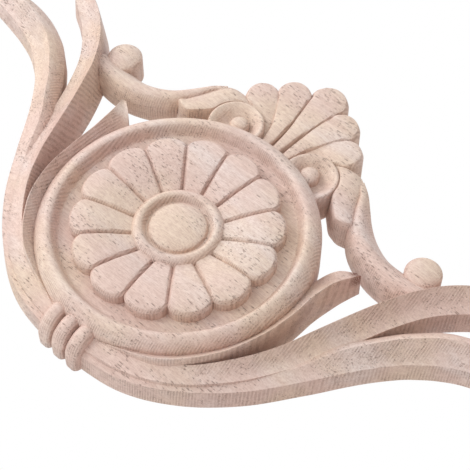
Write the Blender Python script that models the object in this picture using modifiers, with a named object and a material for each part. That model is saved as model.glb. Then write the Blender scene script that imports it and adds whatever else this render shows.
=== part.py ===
"""Carved wood applique: a rosette in a round rim, a palmette above it, and two swept strands to each side.

The ornament is carved from one board. It is drawn flat, with X across, Y up and Z out of the board,
in millimetres, and then stood up: the flat back lies on the plane Y = 0 and the carving faces -Y.
The right half is built, cut at the middle plane and mirrored.
"""
import math

import bmesh
import bpy
from mathutils import Vector

MM = 0.001
NAME = "carved_applique"

# The round rim, the recessed field inside it, and the board's edge under them.
RIM_EDGE_RADIUS = 33.0
RIM_SHOULDER_RADIUS = 32.3
RIM_CREST_RADIUS = 29.4
RIM_FOOT_RADIUS = 27.9
RIM_CREST_HEIGHT = 11.5
RIM_SHOULDER_HEIGHT = 9.4
FIELD_HEIGHT = 8.4

# The ring and the low dome in the middle of the rosette.
RING_OUTER_RADIUS = 10.9
RING_CREST_RADIUS = 9.3
RING_GROOVE_RADIUS = 7.3
RING_HEIGHT = 10.7
RING_GROOVE_HEIGHT = 9.0
DOME_RADIUS = 6.8
DOME_EDGE_HEIGHT = 9.4
DOME_HEIGHT = 11.0

# The petals of the rosette.
PETAL_COUNT = 14
PETAL_ROOT_RADIUS = 9.8
PETAL_NOTCH_RADIUS = 22.2
PETAL_TIP_RADIUS = 24.8
PETAL_ROOT_HEIGHT = 9.7
PETAL_CROWN_HEIGHT = 12.1
PETAL_DROP = 1.3
PETAL_OVERLAP = 1.03

# The palmette: spines from root to tip, half widths along them, and heights.
LOBE_CENTRE_SPINE = [(0.0, 31.0), (0.0, 40.0), (0.0, 50.0), (0.0, 57.9)]
LOBE_CENTRE_WIDTHS = [1.5, 2.3, 4.3, 5.2]
LOBE_SECOND_SPINE = [(2.9, 31.0), (4.1, 39.0), (6.6, 46.5), (9.6, 53.0)]
LOBE_SECOND_WIDTHS = [1.5, 2.4, 4.0, 4.7]
LOBE_THIRD_SPINE = [(5.6, 32.0), (8.4, 37.8), (12.0, 42.0), (17.0, 46.0)]
LOBE_THIRD_WIDTHS = [1.6, 3.0, 4.3, 4.6]
LOBE_ROOT_HEIGHT = 7.4
LOBE_TIP_HEIGHT = 8.7
LOBE_DROP = 1.5

# The volute beside the palmette: a scooped round with an eye.
VOLUTE_CENTRE = (11.9, 32.2)
VOLUTE_RADIUS = 7.1
VOLUTE_EDGE_HEIGHT = 8.6
VOLUTE_FLOOR_HEIGHT = 6.5
VOLUTE_STEPS = 24
EYE_CENTRE = (11.3, 32.8)
EYE_RADIUS = 2.3
EYE_HEIGHT = 8.9
EYE_STEPS = 12

# The arm: a first lobe between two rails, then a limb along a spine that runs out to a round knob.
ARM_LOBE_INNER = [(11.0, 40.0), (14.9, 39.2), (17.2, 37.3), (18.6, 34.2), (19.0, 30.6), (20.8, 28.0),
                  (23.0, 26.5)]
ARM_LOBE_OUTER = [(11.2, 40.6), (16.0, 41.6), (19.8, 41.2), (23.6, 39.0), (25.2, 34.6), (27.3, 30.2),
                  (27.3, 26.9)]
ARM_LOBE_HEIGHT = 8.8
ARM_LOBE_EDGE_HEIGHT = 6.4
ARM_LIMB_SPINE = [(22.8, 38.2), (25.6, 34.8), (29.0, 30.4), (33.4, 26.9), (38.2, 25.0), (42.7, 24.3),
                  (48.0, 24.6), (52.0, 25.6)]
ARM_LIMB_WIDTHS = [0.8, 2.0, 3.2, 3.5, 3.6, 3.7, 3.6, 3.5]
ARM_LIMB_HEIGHT = [7.0, 7.3, 7.7, 8.0, 8.1, 8.1, 8.1, 8.1]
ARM_LIMB_DROP = 3.8
KNOB_CENTRE = (47.9, 29.8)
KNOB_RADIUS = 4.4
KNOB_WALL_HEIGHT = 6.6
KNOB_HEIGHT = 8.4
KNOB_STEPS = 20

# The leaf that follows the rim: inner and outer rails, and the heights of both.
LEAF_INNER = [(6.6, -30.4), (18.7, -24.9), (26.4, -16.5), (30.4, -7.9), (31.2, 0.0), (31.0, 7.7),
              (31.4, 13.6), (33.7, 17.0), (37.0, 19.6)]
LEAF_OUTER = [(7.0, -33.0), (20.9, -28.1), (29.6, -19.5), (33.7, -10.1), (35.1, -1.1), (35.3, 7.6),
              (36.0, 12.0), (36.6, 15.6), (37.8, 19.3)]
LEAF_INNER_HEIGHT = [8.4, 8.8, 8.8, 8.8, 8.6, 8.2, 7.0, 7.6, 7.3]
LEAF_OUTER_HEIGHT = [8.6, 10.4, 11.2, 11.2, 10.5, 10.3, 9.8, 8.8, 7.5]

# The inner strand: inner and outer rails, and the heights of its ridge and of its outer edge.
INNER_STRAND_INNER = [(-1.0, -30.0), (13.2, -27.3), (23.8, -21.6), (31.2, -14.1), (36.1, -7.0),
                      (39.1, 0.0), (41.4, 7.0), (44.3, 14.5), (48.1, 22.0), (53.0, 28.7), (59.3, 34.2),
                      (66.4, 38.3), (74.4, 41.0)]
INNER_STRAND_OUTER = [(-1.0, -36.0), (14.5, -34.2), (26.4, -28.6), (35.6, -19.4), (41.8, -9.7),
                      (46.0, -0.9), (48.8, 6.4), (52.1, 14.5), (56.2, 21.9), (61.6, 27.9), (67.3, 32.3),
                      (72.6, 35.6), (76.1, 39.6)]
INNER_STRAND_RIDGE = [7.8, 8.0, 8.8, 10.3, 10.8, 11.1, 11.1, 11.1, 11.1, 11.1, 11.0, 9.8, 7.2]
INNER_STRAND_EDGE = [6.2, 6.6, 7.0, 7.0, 7.0, 7.0, 7.0, 7.0, 7.0, 7.0, 6.8, 6.4, 6.0]
INNER_STRAND_RIDGE_PLACE = 0.28

# The outer strand: the same.
OUTER_STRAND_INNER = [(-1.0, -33.0), (13.6, -31.2), (24.2, -26.0), (33.4, -18.0), (40.5, -7.5),
                      (45.5, 3.5), (49.7, 8.8), (53.5, 13.7), (56.2, 16.5), (60.5, 20.6), (64.9, 23.2),
                      (71.5, 25.8), (79.2, 27.3), (86.9, 27.3), (94.6, 26.0)]
OUTER_STRAND_OUTER = [(-1.0, -37.5), (15.3, -35.3), (27.4, -29.2), (37.8, -19.8), (46.0, -8.8),
                      (51.0, -1.3), (54.6, 3.7), (58.6, 8.5), (61.2, 11.0), (65.0, 14.1), (70.0, 17.1),
                      (76.4, 19.3), (83.2, 20.8), (89.1, 22.0), (95.2, 24.2)]
OUTER_STRAND_RIDGE = [5.8, 6.0, 6.4, 6.4, 7.4, 10.1, 11.4, 11.4, 11.4, 11.4, 11.4, 11.2, 10.6, 9.4, 7.0]
OUTER_STRAND_EDGE = [5.0, 5.2, 5.7, 5.7, 5.7, 5.7, 5.7, 5.7, 5.7, 5.7, 5.7, 5.7, 5.7, 5.7, 5.7]
OUTER_STRAND_RIDGE_PLACE = 0.45
STRAND_SHOULDER_DROP = 3.6
STRAND_FOOT = 0.6

# The collar of beads that binds the strands below the rim.
BEAD_PLACES = [0.0, 4.3]
BEAD_HALF_WIDTH = 2.3
BEAD_TOP = -30.1
BEAD_BOTTOM = -39.4
BEAD_HEIGHT = 9.6
BEAD_DROP = 2.4

# How finely the curves are divided.
DISC_STEPS = 64
RAIL_STEPS = 2
POD_STEPS = 3
PETAL_STEPS = 2
ARCH_STEPS = 6
DOME_STEPS = 3
TIP_STEPS = 3
TIP_TURN = math.radians(80)
TIP_CLEARANCE = 0.2

# Every shape starts below the back plane, so that one cut planes the back flat.
START_HEIGHT = -1.5
CUT_TOLERANCE = 0.000001

WOOD_COLOUR = (0.66, 0.50, 0.40, 1.0)


def smooth(values, steps):
    """A Catmull-Rom curve through numbers or points, with a number of steps between each pair."""
    points = [Vector(v) if isinstance(v, tuple) else Vector((v,) * 2) for v in values]
    ends = [2 * points[0] - points[1]] + points + [2 * points[-1] - points[-2]]
    curve = []
    for before, start, end, after in zip(ends, ends[1:], ends[2:], ends[3:]):
        for step in range(steps):
            t = step / steps
            curve.append(0.5 * (2 * start + (end - before) * t
                                + (2 * before - 5 * start + 4 * end - after) * t ** 2
                                + (3 * start - before - 3 * end + after) * t ** 3))
    return curve + [points[-1]]


def smooth_numbers(values, steps):
    """The same curve through plain numbers."""
    return [v[0] for v in smooth(values, steps)]


def new_object(name, mesh, collection):
    item = bpy.data.objects.new(name, mesh)
    collection.objects.link(item)
    return item


def loft(name, left, right, sections, collection, foot=0.0):
    """A closed solid between two rails; each section is a list of (place across, height).

    The wall below the right rail stands out at its foot by the given length.
    """
    mesh = bpy.data.meshes.new(name)
    bm = bmesh.new()
    rings = []
    for a, b, section in zip(left, right, sections):
        places = [(0.0, START_HEIGHT)] + section + [(1.0 + foot / (b - a).length, START_HEIGHT)]
        spots = [(a.lerp(b, across), height) for across, height in places]
        rings.append([bm.verts.new((p.x * MM, p.y * MM, h * MM)) for p, h in spots])
    for ring, following in zip(rings, rings[1:]):
        for k in range(len(ring)):
            j = (k + 1) % len(ring)
            bm.faces.new((ring[k], ring[j], following[j], following[k]))
    bm.faces.new(rings[0][::-1])
    bm.faces.new(rings[-1])
    bmesh.ops.recalc_face_normals(bm, faces=bm.faces)
    bm.to_mesh(mesh)
    bm.free()
    return new_object(name, mesh, collection)


def arch(crest, edge, steps, power=2.0):
    """A rounded section from one edge over the crest to the other edge."""
    places = [k / steps for k in range(steps + 1)]
    return [(p, edge + (crest - edge) * (1 - abs(2 * p - 1) ** power)) for p in places]


def pod(name, spine, widths, crests, drop, collection, steps=POD_STEPS, tip_length=None):
    """A long rounded lobe along a spine, with a round tip at its far end."""
    line = smooth(spine, steps)
    half = smooth_numbers(widths, steps)
    crest = smooth_numbers(crests, steps)
    tip_half = half[-1]
    ahead = (line[-1] - line[-2]).normalized()
    tip_length = tip_length or tip_half
    base = line[-1] - ahead * tip_length
    stations = [(p, h, c, 1.0) for p, h, c in zip(line, half, crest)
                if (base - p).dot(ahead) > TIP_CLEARANCE * tip_length]
    for k in range(TIP_STEPS + 1):
        turn = TIP_TURN * k / TIP_STEPS
        spot = base + ahead * tip_length * math.sin(turn)
        stations.append((spot, tip_half * math.cos(turn), crest[-1], math.cos(turn)))
    left, right, sections = [], [], []
    for k, (p, h, c, rise) in enumerate(stations):
        along = stations[min(k + 1, len(stations) - 1)][0] - stations[max(k - 1, 0)][0]
        side = Vector((-along.y, along.x)).normalized()
        left.append(p + side * h)
        right.append(p - side * h)
        edge = c - drop
        sections.append(arch(edge + drop * rise, edge, ARCH_STEPS))
    return loft(name, left, right, sections, collection)


def turned(name, centre, profile, steps, collection):
    """A turned solid; the profile runs from the middle of its top, down its outer side to its underside."""
    mesh = bpy.data.meshes.new(name)
    bm = bmesh.new()
    points = [bm.verts.new((radius * MM, 0.0, height * MM)) for radius, height in profile]
    for start, end in zip(points, points[1:]):
        bm.edges.new((start, end))
    bm.to_mesh(mesh)
    bm.free()
    item = new_object(name, mesh, collection)
    item.location = (centre[0] * MM, centre[1] * MM, 0.0)
    screw = item.modifiers.new("Turn", "SCREW")
    screw.axis = "Z"
    screw.steps = steps
    screw.render_steps = steps
    screw.use_merge_vertices = True
    screw.merge_threshold = 0.00001
    return item


def dome_profile(radius, edge, top, steps):
    """The profile of a round cap from its middle out to its edge."""
    turns = [math.radians(90) * k / steps for k in range(steps + 1)]
    return [(radius * math.sin(t), edge + (top - edge) * math.cos(t)) for t in turns]


def make_disc(collection):
    """The round board with its rim, field, ring and dome."""
    profile = dome_profile(DOME_RADIUS, DOME_EDGE_HEIGHT, DOME_HEIGHT, DOME_STEPS)
    profile += [(RING_GROOVE_RADIUS, RING_GROOVE_HEIGHT),
                ((RING_GROOVE_RADIUS + RING_CREST_RADIUS) / 2, RING_HEIGHT - 0.3),
                (RING_CREST_RADIUS, RING_HEIGHT),
                (RING_OUTER_RADIUS - 0.5, RING_HEIGHT - 0.5),
                (RING_OUTER_RADIUS, FIELD_HEIGHT),
                (RIM_FOOT_RADIUS, FIELD_HEIGHT),
                (RIM_FOOT_RADIUS + 0.5, RIM_CREST_HEIGHT - 0.8),
                (RIM_CREST_RADIUS, RIM_CREST_HEIGHT),
                ((RIM_CREST_RADIUS + RIM_SHOULDER_RADIUS) / 2, RIM_CREST_HEIGHT - 0.7),
                (RIM_SHOULDER_RADIUS, RIM_SHOULDER_HEIGHT),
                (RIM_EDGE_RADIUS, RIM_SHOULDER_HEIGHT - 1.4),
                (RIM_EDGE_RADIUS, START_HEIGHT),
                (0.0, START_HEIGHT)]
    return turned(NAME, (0.0, 0.0), profile, DISC_STEPS, collection)


def make_petals(collection):
    """The petals of the right half; each fills its share of the round and has a round tip."""
    share = math.pi / PETAL_COUNT
    middle = 0.5 * (PETAL_ROOT_RADIUS + PETAL_NOTCH_RADIUS)
    radii = [PETAL_ROOT_RADIUS, middle, PETAL_NOTCH_RADIUS - 1.0, PETAL_TIP_RADIUS]
    widths = [PETAL_OVERLAP * radius * math.tan(share) for radius in radii[:-1]]
    widths.append(PETAL_OVERLAP * PETAL_NOTCH_RADIUS * math.tan(share))
    tip_length = PETAL_TIP_RADIUS - PETAL_NOTCH_RADIUS
    middle_height = 0.4 * PETAL_ROOT_HEIGHT + 0.6 * PETAL_CROWN_HEIGHT
    crests = [PETAL_ROOT_HEIGHT, middle_height, PETAL_CROWN_HEIGHT, PETAL_CROWN_HEIGHT]
    for k in range(PETAL_COUNT // 2 + 1):
        turn = 2 * share * k
        direction = Vector((math.sin(turn), math.cos(turn)))
        spine = [tuple(direction * radius) for radius in radii]
        pod(f"petal_{k}", spine, widths, crests, PETAL_DROP, collection, PETAL_STEPS, tip_length)


def make_palmette(collection):
    """The middle lobe of the palmette and the two at its right; the mirror adds the left ones."""
    lobes = [(LOBE_CENTRE_SPINE, LOBE_CENTRE_WIDTHS),
             (LOBE_SECOND_SPINE, LOBE_SECOND_WIDTHS),
             (LOBE_THIRD_SPINE, LOBE_THIRD_WIDTHS)]
    for k, (spine, widths) in enumerate(lobes):
        last = len(spine) - 1
        rise = LOBE_TIP_HEIGHT - LOBE_ROOT_HEIGHT
        crests = [LOBE_ROOT_HEIGHT + rise * i / last for i in range(last + 1)]
        pod(f"lobe_{k}", spine, widths, crests, LOBE_DROP, collection)


def make_volute(collection):
    """A round with a scooped top and a raised edge, and the eye in the middle of the scoop."""
    scoop = [(0.0, VOLUTE_FLOOR_HEIGHT),
             (0.55 * VOLUTE_RADIUS, VOLUTE_FLOOR_HEIGHT),
             (0.85 * VOLUTE_RADIUS, VOLUTE_EDGE_HEIGHT - 0.3),
             (0.95 * VOLUTE_RADIUS, VOLUTE_EDGE_HEIGHT),
             (VOLUTE_RADIUS, VOLUTE_EDGE_HEIGHT - 0.6),
             (VOLUTE_RADIUS, START_HEIGHT),
             (0.0, START_HEIGHT)]
    turned("volute", VOLUTE_CENTRE, scoop, VOLUTE_STEPS, collection)
    buried = 0.5 * VOLUTE_FLOOR_HEIGHT
    eye = dome_profile(EYE_RADIUS, VOLUTE_FLOOR_HEIGHT, EYE_HEIGHT, DOME_STEPS)
    eye += [(EYE_RADIUS, buried), (0.0, buried)]
    turned("eye", EYE_CENTRE, eye, EYE_STEPS, collection)


def make_arm(collection):
    """The first lobe beside the volute, the limb that leaves it, and the round knob at its end."""
    inner = smooth(ARM_LOBE_INNER, RAIL_STEPS)
    outer = smooth(ARM_LOBE_OUTER, RAIL_STEPS)
    section = arch(ARM_LOBE_HEIGHT, ARM_LOBE_EDGE_HEIGHT, ARCH_STEPS)
    loft("arm_lobe", inner, outer, [section] * len(inner), collection)
    pod("arm_limb", ARM_LIMB_SPINE, ARM_LIMB_WIDTHS, ARM_LIMB_HEIGHT, ARM_LIMB_DROP, collection)
    knob = dome_profile(KNOB_RADIUS, KNOB_WALL_HEIGHT, KNOB_HEIGHT, DOME_STEPS)
    knob += [(KNOB_RADIUS, START_HEIGHT), (0.0, START_HEIGHT)]
    turned("knob", KNOB_CENTRE, knob, KNOB_STEPS, collection)


def make_leaf(collection):
    """The leaf: a slope that rises from the rim to the leaf's outer edge."""
    inner = smooth_numbers(LEAF_INNER_HEIGHT, RAIL_STEPS)
    outer = smooth_numbers(LEAF_OUTER_HEIGHT, RAIL_STEPS)
    sections = []
    for low, high in zip(inner, outer):
        middle = 0.65 * low + 0.35 * high - 0.3
        sections.append([(0.0, low), (0.5, middle), (0.85, high - 0.3), (0.95, high), (1.0, high - 0.2)])
    loft("leaf", smooth(LEAF_INNER, RAIL_STEPS), smooth(LEAF_OUTER, RAIL_STEPS), sections, collection)


def strand_section(ridge, edge, place):
    """A ridge near the inner side, rounded down to the inner wall and scooped down to the outer edge."""
    shoulder = max(ridge - STRAND_SHOULDER_DROP, edge)
    fall = ridge - edge
    outside = 1 - place
    return [(0.0, shoulder),
            (0.4 * place, ridge - 0.42 * (ridge - shoulder)),
            (place, ridge),
            (place + 0.25 * outside, ridge - 0.45 * fall),
            (place + 0.5 * outside, ridge - 0.78 * fall),
            (place + 0.8 * outside, ridge - 0.97 * fall),
            (1.0, edge)]


def make_strand(name, inner, outer, ridges, edges, place, collection):
    """One swept strand between its inner and outer rails."""
    heights = zip(smooth_numbers(ridges, RAIL_STEPS), smooth_numbers(edges, RAIL_STEPS))
    sections = [strand_section(ridge, edge, place) for ridge, edge in heights]
    loft(name, smooth(inner, RAIL_STEPS), smooth(outer, RAIL_STEPS), sections, collection, STRAND_FOOT)


def make_beads(collection):
    """The middle bead and the one beside it; the mirror adds the third."""
    for k, place in enumerate(BEAD_PLACES):
        spine = [(place, BEAD_TOP), (place, 0.5 * (BEAD_TOP + BEAD_BOTTOM)), (place, BEAD_BOTTOM)]
        pod(f"bead_{k}", spine, [BEAD_HALF_WIDTH] * 3, [BEAD_HEIGHT] * 3, BEAD_DROP, collection)


def make_wood():
    """Pale unfinished hardwood."""
    wood = bpy.data.materials.new("unfinished_rubberwood")
    wood.use_nodes = True
    surface = wood.node_tree.nodes["Principled BSDF"]
    surface.inputs["Base Color"].default_value = WOOD_COLOUR
    surface.inputs["Roughness"].default_value = 0.75
    surface.inputs["Metallic"].default_value = 0.0
    return wood


def plane_the_back(item):
    """Make the joined shapes one mesh, cut it at the back plane and close the cut with a flat face."""
    bpy.context.view_layer.update()
    joined = item.evaluated_get(bpy.context.evaluated_depsgraph_get())
    mesh = bpy.data.meshes.new_from_object(joined)
    item.modifiers.clear()
    bm = bmesh.new()
    bm.from_mesh(mesh)
    everything = bm.verts[:] + bm.edges[:] + bm.faces[:]
    cut = bmesh.ops.bisect_plane(bm, geom=everything, dist=CUT_TOLERANCE, plane_co=(0.0, 0.0, 0.0),
                                 plane_no=(0.0, 0.0, -1.0), clear_outer=True)
    outline = [part for part in cut["geom_cut"] if isinstance(part, bmesh.types.BMEdge)]
    bmesh.ops.triangle_fill(bm, edges=outline, use_beauty=True, normal=(0.0, 0.0, -1.0))
    bmesh.ops.recalc_face_normals(bm, faces=bm.faces)
    bm.to_mesh(mesh)
    bm.free()
    item.data = mesh


def make_collection(name):
    collection = bpy.data.collections.new(name)
    bpy.context.scene.collection.children.link(collection)
    return collection


def main():
    for item in list(bpy.data.objects):
        bpy.data.objects.remove(item, do_unlink=True)
    ornament = make_collection("carved_wood_applique")
    shapes = make_collection("joined_shapes")

    make_petals(shapes)
    make_palmette(shapes)
    make_volute(shapes)
    make_arm(shapes)
    make_leaf(shapes)
    make_strand("inner_strand", INNER_STRAND_INNER, INNER_STRAND_OUTER,
                INNER_STRAND_RIDGE, INNER_STRAND_EDGE, INNER_STRAND_RIDGE_PLACE, shapes)
    make_strand("outer_strand", OUTER_STRAND_INNER, OUTER_STRAND_OUTER,
                OUTER_STRAND_RIDGE, OUTER_STRAND_EDGE, OUTER_STRAND_RIDGE_PLACE, shapes)
    make_beads(shapes)

    applique = make_disc(ornament)
    applique.data.materials.append(make_wood())
    join = applique.modifiers.new("Join", "BOOLEAN")
    join.operation = "UNION"
    join.solver = "EXACT"
    join.operand_type = "COLLECTION"
    join.collection = shapes
    plane_the_back(applique)
    mirror = applique.modifiers.new("Mirror", "MIRROR")
    mirror.use_axis = (True, False, False)
    mirror.use_bisect_axis = (True, False, False)
    mirror.bisect_threshold = CUT_TOLERANCE
    mirror.merge_threshold = CUT_TOLERANCE

    upright = math.radians(90)
    for item in [applique] + list(shapes.objects):
        item.location = Vector((item.location.x, -item.location.z, item.location.y))
        item.rotation_euler = (upright, 0.0, 0.0)
    for item in shapes.objects:
        item.hide_render = True
        item.display_type = "WIRE"


main()
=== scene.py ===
"""The look of the carved wood applique: the carving in full, its raw wood, the light and the camera."""
import math

import bpy
from mathutils import Matrix, Vector


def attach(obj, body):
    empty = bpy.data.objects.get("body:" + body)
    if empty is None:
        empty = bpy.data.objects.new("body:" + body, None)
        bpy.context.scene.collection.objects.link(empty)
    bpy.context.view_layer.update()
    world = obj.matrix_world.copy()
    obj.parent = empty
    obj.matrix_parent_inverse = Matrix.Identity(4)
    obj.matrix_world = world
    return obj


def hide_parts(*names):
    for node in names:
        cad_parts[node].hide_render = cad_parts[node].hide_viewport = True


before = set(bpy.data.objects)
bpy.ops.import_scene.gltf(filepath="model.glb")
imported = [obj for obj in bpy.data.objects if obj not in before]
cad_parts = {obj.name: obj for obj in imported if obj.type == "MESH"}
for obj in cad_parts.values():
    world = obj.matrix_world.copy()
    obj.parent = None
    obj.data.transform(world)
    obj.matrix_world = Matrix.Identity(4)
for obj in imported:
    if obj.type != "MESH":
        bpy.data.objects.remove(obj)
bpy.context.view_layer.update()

# The carving is worked lying flat, in millimetres: X across, Y up, Z out of the board.
# START is how far each shape reaches behind the back before the back is planed.
START = -1.5
MM = 0.001

# STEPS is how many stations are worked between two named ones on a swept form, and TURN_STEPS between
# two named spots of a turned one or of a bead. Edges sharper than SHARP are left crisp.
STEPS = 8
TURN_STEPS = 3
SHARP = math.radians(28)

# Light: the surround in front of and behind the carving, and two square lamps: where, width and watts.
SURROUND_FRONT = 0.75
SURROUND_BACK = 0.98
KEY_LIGHT = ((-0.45, -0.55, -0.30), 0.35, 2.3)
SIDE_LIGHT = ((-0.75, -0.28, 0.10), 0.30, 2.0)

# The floor, in metres: how wide, and how far below the carving's origin.
FLOOR_WIDTH = 40.0
FLOOR_DROP = 0.35

# The camera: its place in metres, the ways its right and its back point, and its focal length in
# pixels of a picture 470 pixels wide.
CAMERA_SPOT = (0.12615, -0.25351, -0.11829)
CAMERA_RIGHT = (0.732, -0.005, 0.681)
CAMERA_BACK = (0.387, -0.820, -0.422)
CAMERA_FOCAL = 1312.37
PICTURE_WIDTH = 470
SENSOR_WIDTH = 36.0

# Turned forms: (radius, height) from the middle outwards. A cap is its radius, edge and top.
DOME = (6.8, 9.3, 11.0)
RING = [(7.0, 9.0), (7.3, 9.0), (7.6, 9.35), (7.95, 10.05), (8.3, 10.5), (8.7, 10.75), (9.1, 10.8),
        (9.6, 10.6), (10.1, 10.15), (10.5, 9.6), (10.8, 9.0), (11.0, 8.4)]
FIELD = [(11.6, 8.4), (18.0, 8.4), (24.0, 8.4)]
RIM = [(26.8, 8.4), (27.3, 8.5), (27.8, 9.1), (28.2, 10.0), (28.6, 10.8), (29.05, 11.3), (29.6, 11.5),
       (30.2, 11.4), (30.9, 11.0), (31.6, 10.4), (32.2, 9.7), (32.65, 9.0), (32.9, 8.2), (33.0, 7.0)]

# The petals touch as far out as the notch between their round ends.
PETAL_COUNT = 14
PETAL_RADII = [9.6, 13.0, 16.0, 19.0, 21.0, 24.9]
PETAL_NOTCH = 22.0
PETAL_CREST = [(9.6, 9.3), (12.0, 10.0), (15.0, 11.0), (18.0, 11.7), (21.0, 12.0), (23.0, 12.0),
               (24.9, 11.7)]
PETAL_TOP = dict(steps=5, shoulder=0.7, depth=0.9, camber=0.1, tip=0.7, foot=0.12, roll=1.3)

# The palmette's lobes: spine, half widths and crest heights.
LOBES = [
    dict(spine=[(0.0, 31.0), (0.0, 40.0), (0.0, 50.0), (0.0, 57.9)], widths=[1.5, 2.3, 4.3, 5.2],
         crests=[7.2, 7.6, 8.2, 8.5]),
    dict(spine=[(2.9, 31.0), (4.1, 39.0), (6.6, 46.5), (9.6, 53.0)], widths=[1.5, 2.4, 4.0, 4.7],
         crests=[7.1, 7.5, 8.2, 8.5]),
    dict(spine=[(4.9, 32.0), (7.6, 38.2), (11.6, 42.4), (17.0, 46.0)], widths=[1.3, 2.6, 4.1, 4.6],
         crests=[6.2, 6.6, 7.9, 8.4])]
LOBE_TOP = dict(steps=10, shoulder=0.8, depth=2.0, camber=0.35, tip=1.0, foot=0.1, roll=1.5)

# How a pad's top and round end are divided. The end stops short of its last point, and is closed there.
PAD_ACROSS = 18
END_STEPS = 12
END_TURN = math.radians(86)

# The volute and its eye.
VOLUTE_CENTRE = (11.9, 32.2)
VOLUTE = [(2.5, 6.1), (3.1, 6.35), (4.0, 7.0), (4.8, 7.75), (5.5, 8.3), (6.1, 8.65), (6.5, 8.7),
          (6.8, 8.45), (7.0, 7.9), (7.1, 7.2)]
EYE_CENTRE = (11.3, 32.8)
EYE = (2.4, 7.5, 9.1)
EYE_FOOT = 3.0

# The arm: a lobe against the volute, and the limb that comes out from under it. Each has its inner
# and outer rail and its crest height; the lobe's EDGE is where across it the flat top begins, and
# the limb's FALL and LOW are how its two sides lie: below the crest, and above the back.
ARM_LOBE_INNER = [(11.6, 39.4), (14.9, 38.2), (16.6, 36.2), (17.7, 33.6), (18.5, 31.1), (20.3, 29.2),
                  (22.3, 27.4), (23.9, 26.8), (25.6, 26.4), (27.3, 26.7), (28.9, 27.2)]
ARM_LOBE_OUTER = [(12.0, 40.6), (15.9, 41.3), (19.8, 41.1), (22.3, 39.7), (23.8, 37.2), (25.1, 34.3),
                  (26.3, 32.0), (27.0, 30.8), (27.6, 29.9), (28.1, 28.8), (29.4, 28.2)]
ARM_LOBE_CREST = [6.2, 7.9, 8.6, 8.8, 8.7, 8.6, 8.5, 8.4, 8.3, 7.3, 4.6]
ARM_LOBE_EDGE = [0.05, 0.12, 0.14, 0.16, 0.12, 0.12, 0.13, 0.1, 0.36, 0.8, 0.8]
ARM_LIMB_INNER = [(21.4, 38.4), (23.3, 36.6), (24.9, 33.2), (26.4, 30.2), (27.7, 27.1), (31.6, 23.9),
                  (37.2, 21.5), (42.55, 20.6), (48.5, 21.0), (52.5, 22.0)]
ARM_LIMB_OUTER = [(22.0, 40.2), (24.8, 38.4), (27.3, 36.2), (29.9, 33.8), (32.9, 31.6), (36.3, 30.0),
                  (39.4, 29.3), (43.1, 29.2), (47.5, 29.4), (51.5, 30.0)]
ARM_LIMB_CREST = [7.6, 8.0, 8.1, 8.1, 8.1, 8.1, 8.1, 8.1, 8.1, 8.1]
ARM_LIMB_FALL = [1.0, 1.2, 1.3, 1.8, 3.2, 3.6, 3.6, 3.6, 3.6, 3.6]
ARM_LIMB_LOW = [7.4, 6.8, 5.5, 4.3, 3.6, 3.0, 2.6, 2.6, 2.6, 2.6]
KNOB_CENTRE = (47.9, 29.8)
KNOB = (4.4, 6.6, 8.5)

# The sections of the arm: how far the lobe's wall stops below its crest and where its chamfer ends,
# how far the lobe's top falls at its outer side, and where across the limb its crest lies.
ARM_LOBE_WALL_DROP = 0.6
ARM_LOBE_CHAMFER = (0.025, 0.25)
ARM_LOBE_TOP_FALL = 1.7
ARM_LIMB_CREST_PLACE = 0.42

# The leaf beside the rim: its inner side, its outer side at the back, and the heights of both. Its
# top is hollowed, then turns over in (place across, drop below the high side).
LEAF_INNER = [(6.6, -30.4), (18.7, -24.9), (26.4, -16.5), (30.4, -7.9), (31.2, 0.0), (31.0, 7.7),
              (31.2, 13.6), (33.6, 16.9), (37.0, 19.5)]
LEAF_OUTER = [(7.0, -33.0), (21.3, -28.4), (29.9, -19.7), (33.9, -10.2), (35.4, -1.1), (35.7, 6.5),
              (36.5, 12.0), (37.2, 15.4), (38.4, 19.5)]
LEAF_LOW = [6.4, 6.8, 6.8, 6.8, 6.6, 6.2, 5.4, 7.4, 7.3]
LEAF_HIGH = [7.2, 10.4, 11.4, 11.3, 10.5, 10.3, 9.8, 8.8, 7.5]
LEAF_TOP_PLACE = 0.84
LEAF_HOLLOW = 0.35
LEAF_TURN = [(0.865, 0.06), (0.885, 0.24), (0.9, 0.6)]

# The two strands: rails, ridge and outer edge heights, and where across them the ridge lies.
INNER_STRAND = dict(
    inner=[(-1.0, -30.0), (13.2, -27.3), (23.8, -21.6), (31.2, -14.1), (36.1, -7.0), (39.1, 0.0),
           (41.4, 7.0), (44.3, 14.5), (48.1, 22.0), (53.0, 28.7), (59.3, 34.2), (66.4, 38.3), (74.4, 41.0)],
    outer=[(-1.0, -36.0), (14.5, -34.2), (26.4, -28.6), (35.6, -19.4), (41.8, -9.7), (46.0, -0.9),
           (48.8, 6.4), (52.1, 14.5), (56.2, 21.9), (61.6, 27.9), (67.3, 32.3), (72.6, 35.6), (76.1, 39.6)],
    ridge=[7.4, 7.6, 8.6, 10.2, 10.6, 11.0, 11.0, 11.1, 11.0, 11.1, 10.9, 9.8, 7.2],
    edge=[6.2, 6.6, 7.0, 7.0, 7.0, 7.0, 7.0, 7.0, 7.0, 7.0, 6.8, 6.4, 6.0],
    place=[0.45, 0.45, 0.45, 0.42, 0.33, 0.27, 0.29, 0.30, 0.26, 0.22, 0.20, 0.22, 0.30],
    straight=True, scoop=1.9)
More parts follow.
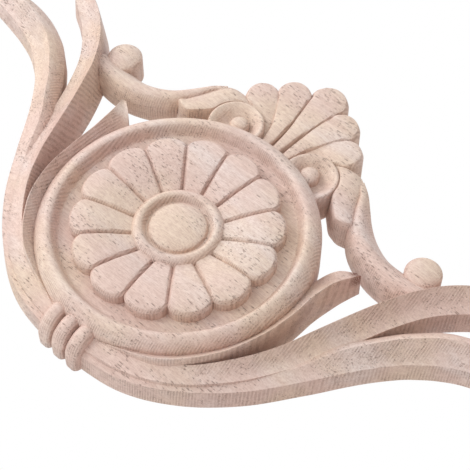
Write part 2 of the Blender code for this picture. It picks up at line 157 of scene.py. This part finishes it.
OUTER_STRAND = dict(
    inner=[(-1.0, -33.0), (13.6, -31.2), (24.2, -26.0), (33.4, -18.0), (40.5, -7.5), (45.5, 3.5),
           (49.7, 8.8), (53.5, 13.7), (56.2, 16.5), (60.5, 20.6), (64.9, 23.2), (71.5, 25.8), (79.2, 27.3),
           (86.9, 27.3), (94.6, 26.0)],
    outer=[(-1.0, -37.5), (15.3, -35.3), (27.4, -29.2), (37.8, -19.8), (46.0, -8.8), (51.0, -1.3),
           (54.6, 3.7), (58.6, 8.5), (61.2, 11.0), (65.0, 14.1), (70.0, 17.1), (76.4, 19.3), (83.2, 20.8),
           (89.1, 22.0), (95.2, 24.2)],
    ridge=[5.8, 6.0, 6.4, 6.5, 7.1, 8.7, 9.7, 10.0, 10.2, 10.3, 10.3, 10.2, 9.8, 9.0, 7.0],
    edge=[5.0, 5.2] + [5.7] * 13,
    place=[0.45] * 15,
    straight=False, scoop=1.35)
# How far below the ridge a rounded inner side starts, how far a wall spreads at the back, and the small
# bevel on a straight side's arris: (place across past the wall, drop below the ridge).
SHOULDER_DROP = 3.6
STRAND_FOOT = 0.6
ARRIS = [(0.012, 0.13), (0.03, 0.0)]

# The collar of beads: where each lies across, and (up, crest, half width) along one of them.
BEAD_PLACES = [0.0, 4.3]
BEAD_LINE = [(-30.9, 8.0, 0.9), (-31.5, 8.9, 1.6), (-32.5, 9.6, 1.95), (-33.8, 9.6, 2.05),
             (-35.1, 9.1, 2.05), (-36.4, 8.1, 2.05), (-37.4, 6.9, 2.0), (-38.1, 5.5, 1.75),
             (-38.6, 3.9, 1.35), (-38.85, 2.2, 0.8)]
BEAD_ACROSS = 16
BEAD_FALL = 1.05

# Patterns in the wood. Each has its cell size in millimetres along the grain, through the board and up
# it; how many finer layers it has and how strong they are; the range of the noise that counts; and how
# much it gives. Single fibres are too fine to show, so they are drawn in bundles 0.25 mm wide.
PATTERNS = {
    "stain": ((26.0, 26.0, 18.0), 2.0, 0.5, (0.38, 0.62), 1.0),
    "pale band": ((40.0, 9.0, 9.0), 3.0, 0.5, (0.45, 0.75), 0.7),
    "growth streak": ((15.0, 0.7, 0.7), 2.0, 0.5, (0.3, 0.7), 0.16),
    "fibre": ((1.4, 0.25, 0.25), 3.0, 0.7, (0.4, 0.66), 0.4),
    "torn fibre": ((1.4, 0.25, 0.25), 3.0, 0.7, (0.38, 0.52), 1.0),
    "pore crowd": ((12.0, 7.0, 7.0), 2.0, 0.5, (0.3, 0.72), 1.0),
    "broken line": ((3.0, 3.0, 2.0), 2.0, 0.5, (0.3, 0.6), 1.0)}
# The wood's colour, and the colours that the first four patterns lay on it in turn.
WOOD_COLOUR = "#E7CFC5"
TINTS = [("stain", "MIX", "#EAD6C4"), ("pale band", "MIX", "#EBDFDB"),
         ("growth streak", "MULTIPLY", "#B08C78"), ("fibre", "MIX", "#B8968A")]
# Pores: length, width, and the range in which a cell opens. Real ones are about 0.2 mm wide, which is
# too fine to show, so these are drawn wider.
PORES = [(3.0, 0.5, (1.2, 1.28)), (1.4, 0.34, (1.08, 1.24))]
# The cell size of the fibres that the cutter raised, and how far apart its lines are, in millimetres;
# and how deep in metres a full mark looks.
FUZZ = (0.9, 0.35, 0.35)
CUTTER_STEP = 0.53
MARK_DEPTH = 0.00016
# The torn grain at the right leaf's tip, in metres, and how far out it fades and is full.
LEAF_TORN = (0.0378, -0.0064, 0.0192)
TORN_REACH = (0.003, 0.0012)


def smooth(values, steps):
    """A Catmull-Rom curve through numbers or points, with a number of steps between each pair."""
    points = [Vector(v) if isinstance(v, tuple) else Vector((v, v)) for v in values]
    ends = [2 * points[0] - points[1]] + points + [2 * points[-1] - points[-2]]
    curve = []
    for before, start, end, after in zip(ends, ends[1:], ends[2:], ends[3:]):
        for step in range(steps):
            t = step / steps
            curve.append(0.5 * (2 * start + (end - before) * t
                                + (2 * before - 5 * start + 4 * end - after) * t ** 2
                                + (3 * start - before - 3 * end + after) * t ** 3))
    return curve + [points[-1]]


def smooth_numbers(values, steps):
    """The same for plain numbers, as plain numbers."""
    return [v[0] for v in smooth(values, steps)]


def read_curve(pairs, x):
    """The height at x of a smooth curve through (x, height) pairs."""
    curve = smooth(pairs, STEPS)
    for a, b in zip(curve, curve[1:]):
        if x <= b[0]:
            share = max(0.0, (x - a[0]) / max(b[0] - a[0], 1e-6))
            return a[1] + (b[1] - a[1]) * share
    return curve[-1][1]


def steps_of(count):
    """Even shares from 0 to 1, both included."""
    return [k / count for k in range(count + 1)]


def deselect():
    """Leaves edit mode and deselects everything."""
    if bpy.context.object and bpy.context.object.mode != "OBJECT":
        bpy.ops.object.mode_set(mode="OBJECT")
    bpy.ops.object.select_all(action="DESELECT")


def take_up(item):
    """Makes one object the only selected and the active one."""
    deselect()
    item.select_set(True)
    bpy.context.view_layer.objects.active = item


def close_up(item):
    """Merges the seam, fills the open ends and turns every face outwards."""
    bpy.ops.object.mode_set(mode="EDIT")
    bpy.ops.mesh.select_all(action="SELECT")
    bpy.ops.mesh.remove_doubles(threshold=0.0004)
    bpy.ops.mesh.fill_holes(sides=0)
    bpy.ops.mesh.select_all(action="SELECT")
    bpy.ops.mesh.normals_make_consistent(inside=False)
    bpy.ops.object.mode_set(mode="OBJECT")
    return item


def skin(name, rings):
    """A closed body over rings of spots: a grid is bent round them and closed.

    The grid's vertices are set one by one, because a carved form's section changes at every station,
    which extruding and turning a section can't give.
    """
    deselect()
    bpy.ops.mesh.primitive_grid_add(x_subdivisions=len(rings[0]), y_subdivisions=len(rings) - 1, size=1.0)
    item = bpy.context.object
    item.name = name
    spots = [c for ring in rings for spot in ring + ring[:1] for c in spot]
    item.data.vertices.foreach_set("co", spots)
    item.data.update()
    return close_up(item)


def turned(name, centre, profile, steps):
    """A turned body: a filled circle is drawn up and in along (radius, height) spots, outside first."""
    deselect()
    radius, height = profile[0]
    bpy.ops.mesh.primitive_circle_add(vertices=steps, radius=radius, fill_type="NGON",
                                      location=(0.0, 0.0, height))
    item = bpy.context.object
    item.name = name
    bpy.ops.object.transform_apply(location=True, rotation=True, scale=True)
    bpy.ops.object.mode_set(mode="EDIT")
    bpy.ops.mesh.select_all(action="SELECT")
    for r, h in profile[1:]:
        bpy.ops.mesh.extrude_region_move(TRANSFORM_OT_translate={"value": (0.0, 0.0, h - height)})
        share = r / radius
        bpy.ops.transform.resize(value=(share, share, 1.0), center_override=(0.0, 0.0, h))
        radius, height = r, h
    bpy.ops.mesh.select_all(action="SELECT")
    bpy.ops.transform.translate(value=(centre[0], centre[1], 0.0))
    return close_up(item)


def inwards(profile):
    """A smooth profile from its outside to its middle, as turned takes it."""
    return [tuple(p) for p in reversed(smooth(profile, TURN_STEPS))]


def cap_profile(radius, edge, top, steps):
    """The profile of a round cap from its edge to near its middle."""
    turns = [math.radians(90) * (1 - k / steps) for k in range(steps)]
    return [(radius * math.sin(t), edge + (top - edge) * math.cos(t)) for t in turns]


def pad(name, spine, widths, crests, steps, shoulder, depth, camber, tip, foot, roll):
    """A long low pad along a spine with a round far end; its top falls away at the edge.

    shoulder is how wide the fall is and depth how deep; roll is 1 for a straight slope and more for a
    rounded one; camber is how much the middle stands up; tip is the length of the round end in half
    widths; foot is how far the walls spread at the back.
    """
    line = smooth(spine, steps)
    halves = smooth_numbers(widths, steps)
    heights = smooth_numbers(crests, steps)
    end_half = halves[-1]
    length = end_half * tip
    ahead = (line[-1] - line[-2]).normalized()
    base = line[-1] - ahead * length
    stations = [(p, half, crest) for p, half, crest in zip(line, halves, heights)
                if (base - p).dot(ahead) > 0.15 * length]
    for k in range(END_STEPS + 1):
        turn = END_TURN * k / END_STEPS
        spot = base + ahead * length * math.sin(turn)
        nearest = min(range(len(line)), key=lambda i: (line[i] - spot).length)
        stations.append((spot, end_half * math.cos(turn), heights[nearest]))
    rings = []
    for k, (middle, half, crest) in enumerate(stations):
        along = stations[min(k + 1, len(stations) - 1)][0] - stations[max(k - 1, 0)][0]
        side = Vector((-along.y, along.x)).normalized()
        into = max(0.0, (middle - base).dot(ahead))
        slope = min(shoulder, 0.6 * (end_half if into > 0 else half))
        left = middle - side * (half + foot)
        right = middle + side * (half + foot)
        ring = [(left.x, left.y, START)]
        for i in range(PAD_ACROSS + 1):
            across = math.sin(math.radians(90) * (2 * i / PAD_ACROSS - 1))
            if into > 0:
                out = math.hypot(across * half / end_half, into / length)
                inside = math.hypot(across * half, into) * (1 / out - 1)
            else:
                out = abs(across)
                inside = half * (1 - out)
            fall = depth * max(0.0, 1 - inside / slope) ** roll
            spot = middle + side * (across * half)
            ring.append((spot.x, spot.y, crest - fall + camber * (1 - out ** 2)))
        rings.append(ring + [(right.x, right.y, START)])
    return skin(name, rings)


def between(name, inner, outer, sections, foot=0.0):
    """A body between two rails; each section is a list of (place across, height)."""
    rings = []
    for a, b, section in zip(smooth(inner, STEPS), smooth(outer, STEPS), sections):
        wide = (b - a).length
        places = [(0.0, START)] + section + [(1.0 + foot / wide, START)]
        ring = []
        for place, height in places:
            spot = a.lerp(b, place)
            ring.append((spot.x, spot.y, height))
        rings.append(ring)
    return skin(name, rings)


def carve_disc():
    """The board under the rosette, with its rim, field, ring and dome, turned in one."""
    outside = [(RIM[-1][0], START)] + inwards(RIM)
    profile = outside + FIELD[::-1] + inwards(RING) + cap_profile(*DOME, 14)
    return turned("rosette_board", (0.0, 0.0), profile, 224)


def carve_petals():
    """One petal, worked once and copied round half the ring, because the carving is mirrored later."""
    share = math.pi / PETAL_COUNT
    widths = [r * math.tan(share) for r in PETAL_RADII[:-1] + [PETAL_NOTCH]]
    crests = [read_curve(PETAL_CREST, r) for r in PETAL_RADII]
    petal = pad("petal", [(0.0, r) for r in PETAL_RADII], widths, crests, **PETAL_TOP)
    petals = [petal]
    for k in range(1, PETAL_COUNT // 2 + 1):
        take_up(petal)
        bpy.ops.object.duplicate()
        copy = bpy.context.object
        copy.rotation_euler = (0.0, 0.0, -2 * share * k)
        bpy.ops.object.transform_apply(location=True, rotation=True, scale=True)
        petals.append(copy)
    return petals


def carve_palmette():
    """The middle lobe and the two at its right."""
    return [pad(f"lobe_{k}", **lobe, **LOBE_TOP) for k, lobe in enumerate(LOBES)]


def carve_volute():
    """A round boss with a hollow top, and the eye that stands in it."""
    radius, edge, top = EYE
    eye = [(radius, EYE_FOOT), (radius, edge)] + cap_profile(radius, edge, top, 10)[1:]
    wall = [(VOLUTE[-1][0], START)] + inwards(VOLUTE)
    return [turned("volute", VOLUTE_CENTRE, wall, 96), turned("eye", EYE_CENTRE, eye, 48)]


def carve_arm_lobe():
    """The lobe has a steep inner wall, a small chamfer and a top that rolls down to the outer side."""
    over, under = ARM_LOBE_CHAMFER
    sections = []
    for crest, edge in zip(smooth_numbers(ARM_LOBE_CREST, STEPS), smooth_numbers(ARM_LOBE_EDGE, STEPS)):
        wall = crest - ARM_LOBE_WALL_DROP
        section = [(0.0, 0.0), (edge / 2, wall / 2), (edge, wall), (edge + over, crest - under)]
        for t in steps_of(10)[1:]:
            fall = ARM_LOBE_TOP_FALL * max(0.0, (t - 0.3) / 0.7) ** 2.2
            section.append((edge + over + (1 - over - edge) * t, crest - fall))
        sections.append(section)
    return between("arm_lobe", ARM_LOBE_INNER, ARM_LOBE_OUTER, sections)


def carve_arm_limb():
    """The limb is rounded, with its crest nearer the inner side."""
    top = ARM_LIMB_CREST_PLACE
    sections = []
    for crest, fall, low in zip(smooth_numbers(ARM_LIMB_CREST, STEPS), smooth_numbers(ARM_LIMB_FALL, STEPS),
                                smooth_numbers(ARM_LIMB_LOW, STEPS)):
        section = [(p, crest - fall * (1 - p / top) ** 2.8) for p in (0.0, 0.04, 0.1, 0.16, 0.22, 0.3, 0.38)]
        section += [(top + (1 - top) * t, crest - (crest - low) * t ** 1.7) for t in steps_of(12)]
        sections.append(section)
    return between("arm_limb", ARM_LIMB_INNER, ARM_LIMB_OUTER, sections)


def carve_knob():
    """The round end of the arm."""
    radius, edge, top = KNOB
    knob = [(radius, START), (radius, edge)] + cap_profile(radius, edge, top, 12)[1:]
    return turned("knob", KNOB_CENTRE, knob, 64)


def carve_leaf():
    """The leaf rises from the rim to its outer side, slightly hollow, and turns over into its wall."""
    sections = []
    for low, high in zip(smooth_numbers(LEAF_LOW, STEPS), smooth_numbers(LEAF_HIGH, STEPS)):
        section = [(LEAF_TOP_PLACE * t, low + (high - low) * t - LEAF_HOLLOW * math.sin(math.pi * t))
                   for t in steps_of(12)]
        section += [(place, high - drop) for place, drop in LEAF_TURN]
        sections.append(section + [(0.94, 0.5 * high), (1.0, 0.0)])
    return between("leaf", LEAF_INNER, LEAF_OUTER, sections)


def strand_section(ridge, edge, place, straight, scoop):
    """Up the inner side to the ridge, then scooped down to the outer edge.

    A straight inner side meets the ridge in a sharp arris; the other is convex and rounds into it. The
    more the scoop, the hollower the outer slope.
    """
    if straight:
        section = [(place * t, (ridge - 0.4) * t) for t in steps_of(8)]
        section += [(place + over, ridge - under) for over, under in ARRIS]
        place += ARRIS[-1][0]
    else:
        shoulder = max(ridge - SHOULDER_DROP, edge)
        section = [(place * t, ridge - (ridge - shoulder) * (0.35 * (1 - t) + 0.65 * (1 - t) ** 2))
                   for t in steps_of(9)]
    for t in steps_of(14)[1:]:
        section.append((place + (1 - place) * t, edge + (ridge - edge) * (1 - t) ** scoop))
    return section


def carve_strand(name, inner, outer, ridge, edge, place, straight, scoop):
    """A strand between its rails, from the collar to its pointed end."""
    heights = zip(smooth_numbers(ridge, STEPS), smooth_numbers(edge, STEPS), smooth_numbers(place, STEPS))
    sections = [strand_section(high, low, spot, straight, scoop) for high, low, spot in heights]
    return between(name, inner, outer, sections, STRAND_FOOT)


def carve_beads():
    """Round in section, like a cord laid over the edge."""
    line = [smooth_numbers(values, TURN_STEPS) for values in zip(*BEAD_LINE)]
    beads = []
    for k, place in enumerate(BEAD_PLACES):
        rings = []
        for up, crest, half in zip(*line):
            ring = [(place - half, up, START)]
            for t in steps_of(BEAD_ACROSS):
                turn = math.radians(180 * t - 90)
                height = max(crest - BEAD_FALL * half * (1 - math.cos(turn)), START + 0.1)
                ring.append((place + half * math.sin(turn), up, height))
            rings.append(ring + [(place + half, up, START)])
        beads.append(skin(f"bead_{k}", rings))
    return beads


def apply(item, name):
    """Applies one modifier."""
    take_up(item)
    bpy.ops.object.modifier_apply(modifier=name)


def cut_plane(item, normal, fill):
    """Cuts the body at a plane through the origin and drops what lies on the normal's side."""
    take_up(item)
    bpy.ops.object.mode_set(mode="EDIT")
    bpy.ops.mesh.select_all(action="SELECT")
    bpy.ops.mesh.bisect(plane_co=(0.0, 0.0, 0.0), plane_no=normal, use_fill=fill, clear_outer=True,
                        threshold=0.0001)
    bpy.ops.object.mode_set(mode="OBJECT")


def carve_applique():
    """The right half is joined from its forms, planed at the back and mirrored."""
    board = carve_disc()
    forms = (carve_petals() + carve_palmette() + carve_volute() + [carve_arm_lobe(), carve_arm_limb()]
             + [carve_knob(), carve_leaf(), carve_strand("inner_strand", **INNER_STRAND)]
             + [carve_strand("outer_strand", **OUTER_STRAND)] + carve_beads())
    group = bpy.data.collections.new("forms")
    for form in forms:
        group.objects.link(form)
    join = board.modifiers.new("Join", "BOOLEAN")
    join.operation = "UNION"
    join.solver = "EXACT"
    join.operand_type = "COLLECTION"
    join.collection = group
    apply(board, "Join")
    for form in forms:
        bpy.data.objects.remove(form, do_unlink=True)
    bpy.data.collections.remove(group)
    cut_plane(board, (0.0, 0.0, -1.0), True)
    cut_plane(board, (-1.0, 0.0, 0.0), False)
    mirror = board.modifiers.new("Mirror", "MIRROR")
    mirror.use_axis = (True, False, False)
    mirror.merge_threshold = 0.0005
    apply(board, "Mirror")

    board.name = "applique_carving"
    board.matrix_world = Matrix.Rotation(math.radians(90), 4, "X") @ Matrix.Scale(MM, 4)
    bpy.ops.object.transform_apply(location=True, rotation=True, scale=True)
    bpy.ops.object.shade_smooth_by_angle(angle=SHARP)
    return board


def linear(code):
    """An sRGB hex value as linear colour."""
    parts = [int(code[i:i + 2], 16) / 255 for i in (1, 3, 5)]
    return tuple(c / 12.92 if c <= 0.04045 else ((c + 0.055) / 1.055) ** 2.4 for c in parts) + (1.0,)


def per_metre(*sizes):
    """How many cells of these sizes in millimetres a metre holds."""
    return [1 / (size * MM) for size in sizes]


def add(tree, kind, inputs, **settings):
    """Adds a shader node with its settings, and gives its inputs values or links.

    inputs names each input, by its name or number, with an output that it links to, an sRGB hex value
    or a plain value.
    """
    node = tree.nodes.new("ShaderNode" + kind)
    for key, value in settings.items():
        setattr(node, key, value)
    for socket, value in inputs.items():
        if isinstance(value, bpy.types.NodeSocket):
            tree.links.new(value, node.inputs[socket])
        else:
            node.inputs[socket].default_value = linear(value) if isinstance(value, str) else value
    return node


def wood_pores(tree, place, crowd):
    """Where the pores are: the cores of long cells, of which only some are open, more where they crowd."""
    pores = []
    for length, width, (low, high) in PORES:
        cells = add(tree, "Mapping", {"Vector": place, "Scale": per_metre(length, width, width)})
        cells = add(tree, "TexVoronoi", {"Vector": cells.outputs["Vector"], "Scale": 1.0, "Randomness": 1.0})
        core = add(tree, "MapRange", {"Value": cells.outputs["Distance"], "From Min": 0.3, "From Max": 0.16},
                   interpolation_type="SMOOTHSTEP").outputs["Result"]
        chance = add(tree, "SeparateColor", {"Color": cells.outputs["Color"]}).outputs["Red"]
        chance = add(tree, "Math", {0: chance, 1: crowd}, operation="ADD").outputs["Value"]
        open_here = add(tree, "MapRange", {"Value": chance, "From Min": low, "From Max": high},
                        interpolation_type="SMOOTHSTEP").outputs["Result"]
        pores.append(add(tree, "Math", {0: core, 1: open_here}, operation="MULTIPLY").outputs["Value"])
    return add(tree, "Math", {0: pores[0], 1: pores[1]}, operation="MAXIMUM").outputs["Value"]


def torn_tip(tree, place, fibre):
    """Where the grain is torn at the right leaf's tip, along its fibres."""
    away = add(tree, "VectorMath", {0: place, 1: LEAF_TORN}, operation="DISTANCE").outputs["Value"]
    near = add(tree, "MapRange", {"Value": away, "From Min": TORN_REACH[0], "From Max": TORN_REACH[1],
                                  "To Max": 0.85}, interpolation_type="SMOOTHSTEP").outputs["Result"]
    return add(tree, "Math", {0: near, 1: fibre}, operation="MULTIPLY").outputs["Value"]


def cutter_lines_and_shade(tree, place, facing, outwards, broken):
    """Where the cutter's lines show, with painted shade in their furrows: up and down the face, broken here
    and there, most on the slopes and on faces turned away from the light.

    At scale 1 the wave goes through 20 radians in a millimetre here, which gives its scale for lines
    that are CUTTER_STEP apart.
    """
    cells = add(tree, "Mapping", {"Vector": place, "Scale": per_metre(1.0, 1.0, 1.0)}).outputs["Vector"]
    lines = add(tree, "TexWave", {"Vector": cells, "Scale": 2 * math.pi / 20 / CUTTER_STEP,
                                  "Distortion": 0.5, "Detail": 1.0, "Detail Scale": 0.6},
                wave_type="BANDS", bands_direction="X", wave_profile="SIN").outputs["Fac"]
    lines = add(tree, "MapRange", {"Value": lines, "From Min": 0.35, "From Max": 0.85},
                interpolation_type="SMOOTHSTEP").outputs["Result"]
    lines = add(tree, "Math", {0: lines, 1: broken}, operation="MULTIPLY").outputs["Value"]
    # They show on steep faces. Painted shade makes them strongest on faces that point down and to the right,
    # away from the light from the left.
    level = add(tree, "Math", {0: outwards}, operation="ABSOLUTE").outputs["Value"]
    steep = add(tree, "MapRange", {"Value": level, "From Min": 0.96, "From Max": 0.55},
                interpolation_type="SMOOTHSTEP").outputs["Result"]
    away_from_light = add(tree, "VectorMath", {0: facing, 1: (0.75, 0.0, -0.65)}, operation="DOT_PRODUCT")
    side = add(tree, "MapRange", {"Value": away_from_light.outputs["Value"], "From Min": -0.15, "From Max": 0.4,
                                  "To Min": 0.3}, interpolation_type="SMOOTHSTEP").outputs["Result"]
    shown_and_shaded = add(tree, "Math", {0: steep, 1: side}, operation="MULTIPLY").outputs["Value"]
    shown_and_shaded = add(tree, "MapRange", {"Value": shown_and_shaded, "To Min": 0.14},
                interpolation_type="SMOOTHSTEP").outputs["Result"]
    return add(tree, "Math", {0: lines, 1: shown_and_shaded}, operation="MULTIPLY").outputs["Value"]


def raw_rubberwood():
    """Rubberwood without a finish, cut by a round-nosed cutter and lightly sanded.

    To the eye: pale and quite matt, pink in some places and cream in others, with short dark pores
    along the grain, slightly darker end grain on what faces the ends of the board, and fine cutter
    lines, which show most on the slopes. Their dark tint is partly painted shade, strongest on faces
    turned away from the light.
    """
    wood = bpy.data.materials.new("raw_rubberwood")
    wood.use_nodes = True
    tree = wood.node_tree
    surface = tree.nodes["Principled BSDF"]
    surface.inputs["Roughness"].default_value = 0.82
    surface.inputs["IOR"].default_value = 1.5
    place = add(tree, "TexCoord", {}).outputs["Object"]
    facing = add(tree, "NewGeometry", {}).outputs["Normal"]
    parts = add(tree, "SeparateXYZ", {"Vector": facing}).outputs

    amount = {}
    for name, (size, detail, roughness, (low, high), most) in PATTERNS.items():
        cells = add(tree, "Mapping", {"Vector": place, "Scale": per_metre(*size)}).outputs["Vector"]
        noise = add(tree, "TexNoise", {"Vector": cells, "Scale": 1.0, "Detail": detail,
                                       "Roughness": roughness}).outputs["Fac"]
        amount[name] = add(tree, "MapRange", {"Value": noise, "From Min": low, "From Max": high,
                                              "To Max": most},
                           interpolation_type="SMOOTHSTEP").outputs["Result"]
    colour = WOOD_COLOUR
    for name, way, tint in TINTS:
        colour = add(tree, "Mix", {0: amount[name], 6: colour, 7: tint}, data_type="RGBA",
                     blend_type=way).outputs[2]

    # End grain shows on what faces along the board.
    endwise = add(tree, "Math", {0: parts["X"]}, operation="ABSOLUTE").outputs["Value"]
    end_grain = add(tree, "MapRange", {"Value": endwise, "From Min": 0.3, "From Max": 0.95},
                    interpolation_type="SMOOTHSTEP").outputs["Result"]
    colour = add(tree, "Mix", {0: end_grain, 6: colour, 7: "#EFE6E3"}, data_type="RGBA",
                 blend_type="MULTIPLY").outputs[2]

    # Dark pores, a reddish tear at the leaf's tip and the cutter's lines, one over the other. The lines'
    # dark tint is partly raised fibres and partly painted shade in their furrows.
    pore = wood_pores(tree, place, amount["pore crowd"])
    cut_lines_and_shade = cutter_lines_and_shade(tree, place, facing, parts["Y"], amount["broken line"])
    pore_tint = add(tree, "Math", {0: pore, 1: 0.55}, operation="MULTIPLY").outputs["Value"]
    cut_shade_tint = add(tree, "Math", {0: cut_lines_and_shade, 1: 0.28}, operation="MULTIPLY").outputs["Value"]
    torn = torn_tip(tree, place, amount["torn fibre"])
    for mark, tint in ((pore_tint, "#7A5C50"), (torn, "#6B3A2B"), (cut_shade_tint, "#8F6C5C")):
        colour = add(tree, "Mix", {0: mark, 6: colour, 7: tint}, data_type="RGBA").outputs[2]
    tree.links.new(colour, surface.inputs["Base Color"])

    # Depth of the marks: furrows, open pores and raised fibres.
    cells = add(tree, "Mapping", {"Vector": place, "Scale": per_metre(*FUZZ)}).outputs["Vector"]
    fuzz = add(tree, "TexNoise", {"Vector": cells, "Scale": 1.0, "Detail": 3.0, "Roughness": 0.65})
    depth = add(tree, "Math", {0: fuzz.outputs["Fac"], 1: 0.6}, operation="MULTIPLY").outputs["Value"]
    for mark, drop in ((cut_lines_and_shade, -0.8), (pore, -0.9)):
        depth = add(tree, "Math", {0: mark, 1: drop, 2: depth}, operation="MULTIPLY_ADD").outputs["Value"]
    bump = add(tree, "Bump", {"Height": depth, "Strength": 0.8, "Distance": MARK_DEPTH})
    tree.links.new(bump.outputs["Normal"], surface.inputs["Normal"])
    return wood


def place_light(name, spot, width, power):
    """A square lamp that points at the carving."""
    light = bpy.data.lights.new(name, "AREA")
    light.shape = "SQUARE"
    light.size = width
    light.energy = power
    lamp = bpy.data.objects.new(name, light)
    bpy.context.scene.collection.objects.link(lamp)
    lamp.location = spot
    lamp.rotation_euler = (-Vector(spot)).to_track_quat("-Z", "Y").to_euler()


def set_camera():
    """The photograph's view: from in front, low on the right, with the camera rolled."""
    data = bpy.data.cameras.new("camera")
    data.sensor_width = SENSOR_WIDTH
    data.lens = CAMERA_FOCAL / PICTURE_WIDTH * SENSOR_WIDTH
    data.clip_start = 0.01
    camera = bpy.data.objects.new("camera", data)
    bpy.context.scene.collection.objects.link(camera)
    back = Vector(CAMERA_BACK).normalized()
    up = back.cross(Vector(CAMERA_RIGHT)).normalized()
    right = up.cross(back)
    turn = Matrix((right, up, back)).transposed().to_4x4()
    camera.matrix_world = Matrix.Translation(CAMERA_SPOT) @ turn
    bpy.context.scene.camera = camera


def pale_paint():
    """Matt off-white emulsion, rolled on, which looks even at this distance."""
    paint = bpy.data.materials.new("pale_paint")
    paint.use_nodes = True
    surface = paint.node_tree.nodes["Principled BSDF"]
    surface.inputs["Base Color"].default_value = linear("#F2F0EE")
    surface.inputs["Roughness"].default_value = 0.9
    return paint


def set_surround():
    """A pale studio all round. It looks white, and its light is weaker in front than behind."""
    world = bpy.data.worlds.new("pale_studio")
    bpy.context.scene.world = world
    world.use_nodes = True
    tree = world.node_tree
    surround = tree.nodes["Background"]
    surround.inputs["Color"].default_value = linear("#FFFFFF")
    towards = add(tree, "TexCoord", {}).outputs["Generated"]
    behind = add(tree, "SeparateXYZ", {"Vector": towards}).outputs["Y"]
    light = add(tree, "MapRange", {"Value": behind, "From Min": -0.4, "From Max": 0.5,
                                   "To Min": SURROUND_FRONT, "To Max": SURROUND_BACK}).outputs["Result"]
    seen = add(tree, "LightPath", {}).outputs["Is Camera Ray"]
    strength = add(tree, "Mix", {0: seen, 2: light, 3: 1.0}, data_type="FLOAT").outputs[0]
    tree.links.new(strength, surround.inputs["Strength"])


def set_stage():
    """A pale floor well below the part, the surround and soft studio light from the left."""
    deselect()
    bpy.ops.mesh.primitive_plane_add(size=FLOOR_WIDTH, location=(0.0, 0.0, -FLOOR_DROP))
    floor = bpy.context.object
    floor.name = "floor"
    floor.data.materials.append(pale_paint())
    set_surround()
    place_light("key_light", *KEY_LIGHT)
    place_light("side_light", *SIDE_LIGHT)
    bpy.context.scene.view_settings.view_transform = "Standard"


applique = carve_applique()
applique.data.materials.clear()
applique.data.materials.append(raw_rubberwood())
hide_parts("carved_applique")
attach(applique, "root")
set_stage()
set_camera()
